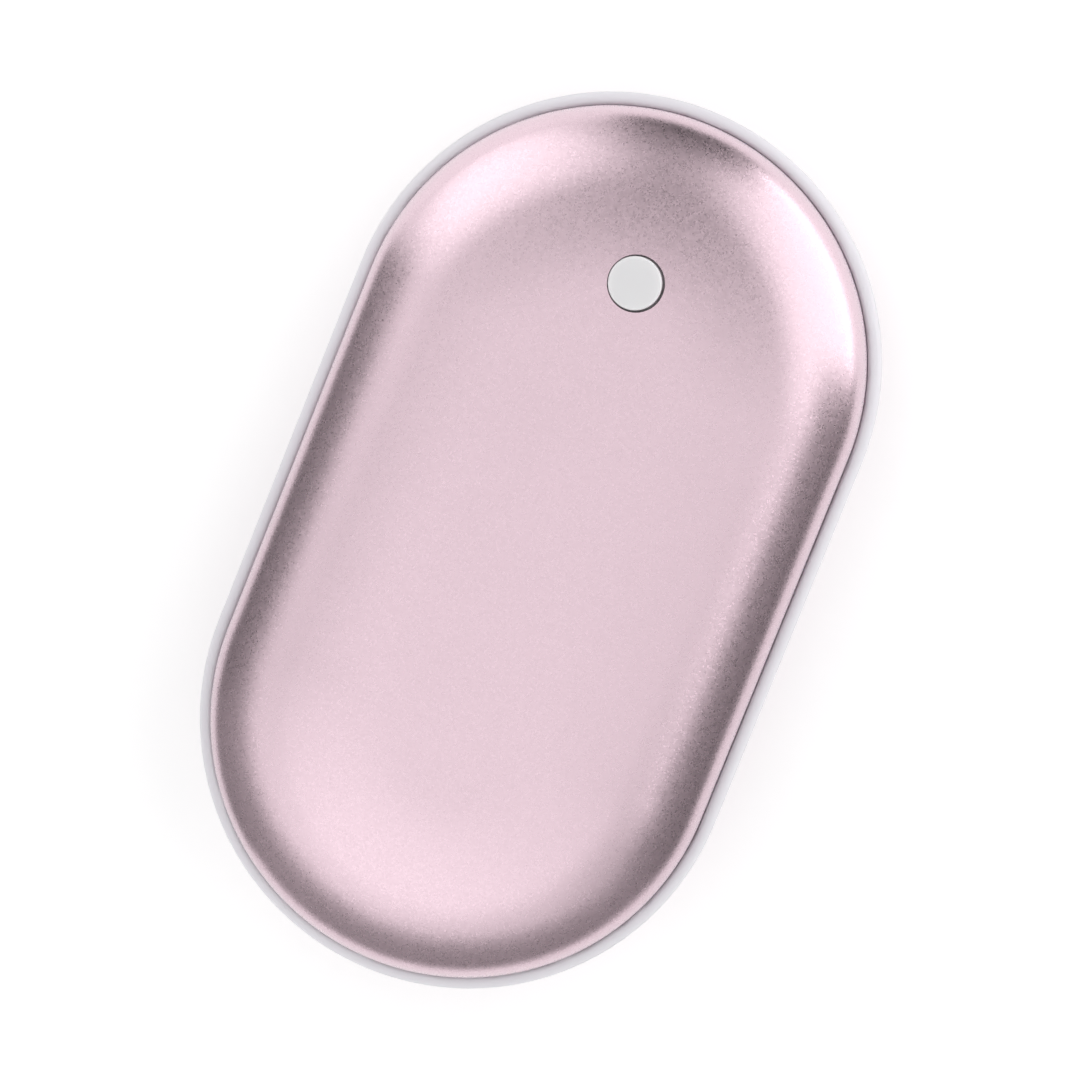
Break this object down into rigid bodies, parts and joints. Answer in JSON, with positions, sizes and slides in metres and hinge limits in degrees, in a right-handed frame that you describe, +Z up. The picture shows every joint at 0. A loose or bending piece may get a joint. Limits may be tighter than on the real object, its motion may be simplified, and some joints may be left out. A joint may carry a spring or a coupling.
{
  "type": "rechargeable hand warmer",
  "caption": "Pocket hand warmer: oval domed aluminium body with a plastic rim, a push button, two heater films, two cells and ports for charging and for powering devices.",
  "frame": {"origin": "centre of the footprint on the surface that the back shell lies on", "axes": "+X across the body, +Y along it towards the button's end and away from the ports, +Z up through the button"},
  "size_m": [0.057, 0.098, 0.0264],
  "materials": {
    "rose_gold_aluminium": "bead-blasted and anodised rose gold, soft satin sheen",
    "rim_plastic": "milky white moulded plastic, fine satin",
    "button_plastic": "white moulded plastic, smooth satin",
    "liner_plastic": "natural moulded plastic",
    "well_plastic": "bright white moulded plastic",
    "port_steel": "bright plated sheet steel",
    "screw_steel": "zinc-plated steel",
    "can_steel": "nickel-plated steel",
    "nickel_strip": "bare nickel strip",
    "wound_foils": "dark coated foils, wound",
    "gold_contact": "gold-plated contacts",
    "black_moulding": "black moulded resin",
    "port_white": "white moulded insulator",
    "circuit_board": "green solder mask",
    "cell_wrap": "thin blue shrink film",
    "cell_paper": "white fish paper",
    "cell_gasket": "grey-white polypropylene",
    "heater_film": "amber polyimide film",
    "foam_pad": "dark closed-cell foam",
    "red_insulation": "red silicone insulation",
    "black_insulation": "black silicone insulation",
    "white_insulation": "white silicone insulation",
    "flat_cable": "flat white cable",
    "sensor_resin": "orange epoxy bead",
    "sensor_legs": "tinned wire",
    "ceramic_white": "white ceramic body",
    "ceramic_tan": "tan ceramic",
    "ferrite": "dark ferrite",
    "led_resin": "clear yellowish resin"
  },
  "bodies": {
    "case": {"front_shell": "rose_gold_aluminium", "back_shell": "rose_gold_aluminium", "mid_frame": "rim_plastic", "front_liner": "liner_plastic", "back_liner": "liner_plastic", "liner_screws": "screw_steel", "light_well": "well_plastic", "button_board": "circuit_board", "switch_base": "black_moulding", "switch_cover": "port_steel", "switch_dome": "port_steel", "status_leds": "led_resin", "cell_can_left": "can_steel", "cell_can_right": "can_steel", "cell_roll_left": "wound_foils", "cell_roll_right": "wound_foils", "cell_caps": "can_steel", "cell_gaskets": "cell_gasket", "cell_wrap_left": "cell_wrap", "cell_wrap_right": "cell_wrap", "cell_insulators": "cell_paper", "nickel_strip_plus": "nickel_strip", "nickel_strip_minus": "nickel_strip", "battery_lead_plus": "red_insulation", "battery_lead_minus": "black_insulation", "front_heater": "heater_film", "back_heater": "heater_film", "front_pad": "foam_pad", "back_pad": "foam_pad", "front_heater_leads": "white_insulation", "back_heater_leads": "white_insulation", "thermistor": "sensor_resin", "thermistor_leads": "sensor_legs", "thermal_cutoff": "ceramic_white", "main_board": "circuit_board", "board_screws": "screw_steel", "usb_a_shell": "port_steel", "usb_a_insulator": "port_white", "usb_a_contacts": "gold_contact", "micro_usb_shell": "port_steel", "micro_usb_insulator": "black_moulding", "micro_usb_contacts": "gold_contact", "charge_chip": "black_moulding", "heater_transistors": "black_moulding", "power_inductor": "ferrite", "board_capacitors": "ceramic_tan", "button_ribbon": "flat_cable"},
    "button": {"button_cap": "button_plastic", "switch_plunger": "button_plastic"}
  },
  "joints": [
    {"name": "button_press", "type": "slide", "parent": "case", "child": "button", "axis": [0, 0, -1], "range_m": [0, 0.00025], "stiffness_N_per_m": 4000, "deforming": ["switch_dome"]}
  ]
}
